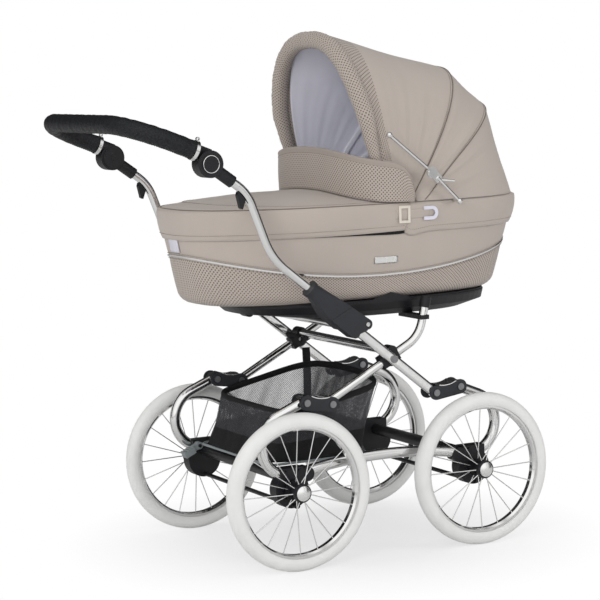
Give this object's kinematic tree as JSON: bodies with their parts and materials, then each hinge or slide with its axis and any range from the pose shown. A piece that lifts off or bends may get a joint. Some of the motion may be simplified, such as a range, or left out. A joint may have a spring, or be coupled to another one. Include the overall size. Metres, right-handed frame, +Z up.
{
  "type": "bassinet pram",
  "caption": "Classic bassinet pram: upholstered carrycot with folding hood and wind flap on a chromed C-spring chassis with spoked wheels, fold-down handle and basket.",
  "frame": {"origin": "on the ground, midway between the axles and the sides", "axes": "+X the way the pram travels (hood end), +Y its left side, +Z up"},
  "size_m": [1.126, 0.605, 1.2081],
  "materials": {
    "tyre_white": "white rubber, satin",
    "chrome": "polished",
    "black_plastic": "black moulded",
    "silver_cap": "satin silver",
    "steel": "dark steel",
    "black_paint": "black powder coat",
    "grey_plastic": "grey moulded",
    "charcoal_plastic": "charcoal moulded",
    "black_leather": "grained black",
    "button_steel": "gloss grey",
    "black_mesh": "black mesh and cloth",
    "taupe_leather": "smooth greige",
    "dotted_leather": "greige with small dark dots",
    "pale_fabric": "pale lilac white"
  },
  "bodies": {
    "chassis": {"spring_frames": "chrome", "axle_stubs": "steel", "axle_blocks": "black_plastic", "cross_tubes": "black_paint", "basket": "black_mesh", "basket_wire": "grey_plastic"},
    "wheel_fl": {"tyre_fl": "tyre_white", "rim_fl": "chrome", "hub_fl": "black_plastic", "hub_cap_fl": "silver_cap"},
    "wheel_fr": {"tyre_fr": "tyre_white", "rim_fr": "chrome", "hub_fr": "black_plastic", "hub_cap_fr": "silver_cap"},
    "wheel_rl": {"tyre_rl": "tyre_white", "rim_rl": "chrome", "hub_rl": "black_plastic", "hub_cap_rl": "silver_cap"},
    "wheel_rr": {"tyre_rr": "tyre_white", "rim_rr": "chrome", "hub_rr": "black_plastic", "hub_cap_rr": "silver_cap"},
    "pedal": {"brake_pedal": "grey_plastic"},
    "brake": {"brake_shaft": "black_paint"},
    "rear_link": {"rear_links": "charcoal_plastic", "rear_link_saddles": "chrome", "rear_link_pins": "steel"},
    "rear_arm": {"rear_arms": "chrome", "upright_caps": "black_plastic", "pivot_blocks": "black_plastic", "pivot_pins": "steel"},
    "handle_arm": {"handle_arms": "chrome"},
    "front_link": {"front_links": "charcoal_plastic", "front_link_saddles": "chrome", "front_link_pins": "steel"},
    "handle": {"hinge_housings": "charcoal_plastic", "handle_tubes": "chrome", "hinge_sleeves": "black_plastic"},
    "sleeve_left": {"lock_sleeve_left": "charcoal_plastic"},
    "sleeve_right": {"lock_sleeve_right": "charcoal_plastic"},
    "trigger_l": {"trigger_left": "black_plastic"},
    "trigger_r": {"trigger_right": "black_plastic"},
    "handlebar": {"hinge_discs": "black_plastic", "grip": "black_leather", "clamp_rings": "chrome"},
    "button_l": {"button_left": "button_steel"},
    "button_r": {"button_right": "button_steel"},
    "carrycot": {"carrycot_base": "charcoal_plastic", "tub": "taupe_leather", "trim_strip": "chrome", "mattress": "pale_fabric", "apron": "taupe_leather", "wind_flap": "dotted_leather", "rim_band": "taupe_leather", "side_buckles": "silver_cap", "hood_canopy": "taupe_leather"},
    "hood": {"hood_roll": "dotted_leather"},
    "rear_stay": {"rear_stays": "chrome"},
    "front_stay": {"front_stays": "chrome"}
  },
  "joints": [
    {"name": "wheel_spin_fl", "type": "hinge", "parent": "chassis", "child": "wheel_fl", "pos_m": [0.2425, 0.2745, 0.18], "axis": [0, 1, 0], "continuous": true},
    {"name": "wheel_spin_fr", "type": "hinge", "parent": "chassis", "child": "wheel_fr", "pos_m": [0.2425, -0.2745, 0.18], "axis": [0, 1, 0], "continuous": true},
    {"name": "wheel_spin_rl", "type": "hinge", "parent": "chassis", "child": "wheel_rl", "pos_m": [-0.2425, 0.2745, 0.18], "axis": [0, 1, 0], "continuous": true},
    {"name": "wheel_spin_rr", "type": "hinge", "parent": "chassis", "child": "wheel_rr", "pos_m": [-0.2425, -0.2745, 0.18], "axis": [0, 1, 0], "continuous": true},
    {"name": "pedal_press", "type": "hinge", "parent": "chassis", "child": "pedal", "pos_m": [-0.2625, 0.2, 0.219], "axis": [0, -1, 0], "range_deg": [0, 20]},
    {"name": "brake_turn", "type": "hinge", "parent": "chassis", "child": "brake", "pos_m": [-0.2425, 0, 0.145], "axis": [0, -1, 0], "range_deg": [0, 60]},
    {"name": "frame_fold", "type": "hinge", "parent": "chassis", "child": "rear_link", "pos_m": [-0.204, 0, 0.375], "axis": [0, 1, 0], "range_deg": [0, 24]},
    {"name": "rear_arm_fold", "type": "hinge", "parent": "rear_link", "child": "rear_arm", "pos_m": [-0.138, 0, 0.366], "axis": [0, 1, 0], "range_deg": [-20, 0]},
    {"name": "handle_arm_fold", "type": "hinge", "parent": "rear_arm", "child": "handle_arm", "pos_m": [0.028, 0, 0.454], "axis": [0, 1, 0], "range_deg": [-12, 0]},
    {"name": "front_link_fold", "type": "hinge", "parent": "handle_arm", "child": "front_link", "pos_m": [0.138, 0, 0.366], "axis": [0, 1, 0], "range_deg": [-18, 0]},
    {"name": "handle_fold", "type": "hinge", "parent": "handle_arm", "child": "handle", "pos_m": [-0.05821, 0, 0.54474], "axis": [0, 1, 0], "range_deg": [0, 150]},
    {"name": "trigger_pull_left", "type": "hinge", "parent": "handle", "child": "trigger_l", "pos_m": [-0.43073, 0.266, 0.7905], "axis": [0, -1, 0], "range_deg": [0, 4.5], "stiffness_Nm_per_rad": 0.8},
    {"name": "sleeve_lift_left", "type": "slide", "parent": "handle", "child": "sleeve_left", "axis": [-0.7809, 0, 0.6247], "range_m": [0, 0.012]},
    {"name": "trigger_pull_right", "type": "hinge", "parent": "handle", "child": "trigger_r", "pos_m": [-0.43073, -0.266, 0.7905], "axis": [0, -1, 0], "range_deg": [0, 4.5], "stiffness_Nm_per_rad": 0.8},
    {"name": "sleeve_lift_right", "type": "slide", "parent": "handle", "child": "sleeve_right", "axis": [-0.7809, 0, 0.6247], "range_m": [0, 0.012]},
    {"name": "handlebar_tilt", "type": "hinge", "parent": "handle", "child": "handlebar", "pos_m": [-0.44137, 0, 0.92349], "axis": [0, 1, 0], "range_deg": [-40, 40]},
    {"name": "button_press_left", "type": "slide", "parent": "handle", "child": "button_l", "axis": [0, -1, 0], "range_m": [0, 0.004], "stiffness_N_per_m": 400},
    {"name": "button_press_right", "type": "slide", "parent": "handle", "child": "button_r", "axis": [0, 1, 0], "range_m": [0, 0.004], "stiffness_N_per_m": 400},
    {"name": "carrycot_lift", "type": "slide", "parent": "rear_arm", "child": "carrycot", "axis": [0, 0, 1], "range_m": [0, 0.35]},
    {"name": "hood_fold", "type": "hinge", "parent": "carrycot", "child": "hood", "pos_m": [0.1, 0, 0.81255], "axis": [0, 1, 0], "range_deg": [0, 70], "deforming": ["hood_canopy"]},
    {"name": "rear_stay_turn", "type": "hinge", "parent": "carrycot", "child": "rear_stay", "pos_m": [0.213, 0, 0.80795], "axis": [0, 1, 0], "range_deg": [-29.41, 0]},
    {"name": "front_stay_turn", "type": "hinge", "parent": "rear_stay", "child": "front_stay", "pos_m": [0.141, 0, 0.87795], "axis": [0, 1, 0], "range_deg": [0, 127.65]}
  ],
  "couplings": [
    {"joint": "brake_turn", "follows": "pedal_press", "ratio": 3},
    {"joint": "rear_arm_fold", "follows": "frame_fold", "ratio": -0.813},
    {"joint": "handle_arm_fold", "follows": "frame_fold", "ratio": -0.464},
    {"joint": "front_link_fold", "follows": "frame_fold", "ratio": -0.723},
    {"joint": "sleeve_lift_left", "follows": "trigger_pull_left", "m_per_rad": 0.15264},
    {"joint": "sleeve_lift_right", "follows": "trigger_pull_right", "m_per_rad": 0.15264},
    {"joint": "rear_stay_turn", "follows": "hood_fold", "ratio": -0.41294},
    {"joint": "front_stay_turn", "follows": "hood_fold", "ratio": 1.8164}
  ]
}
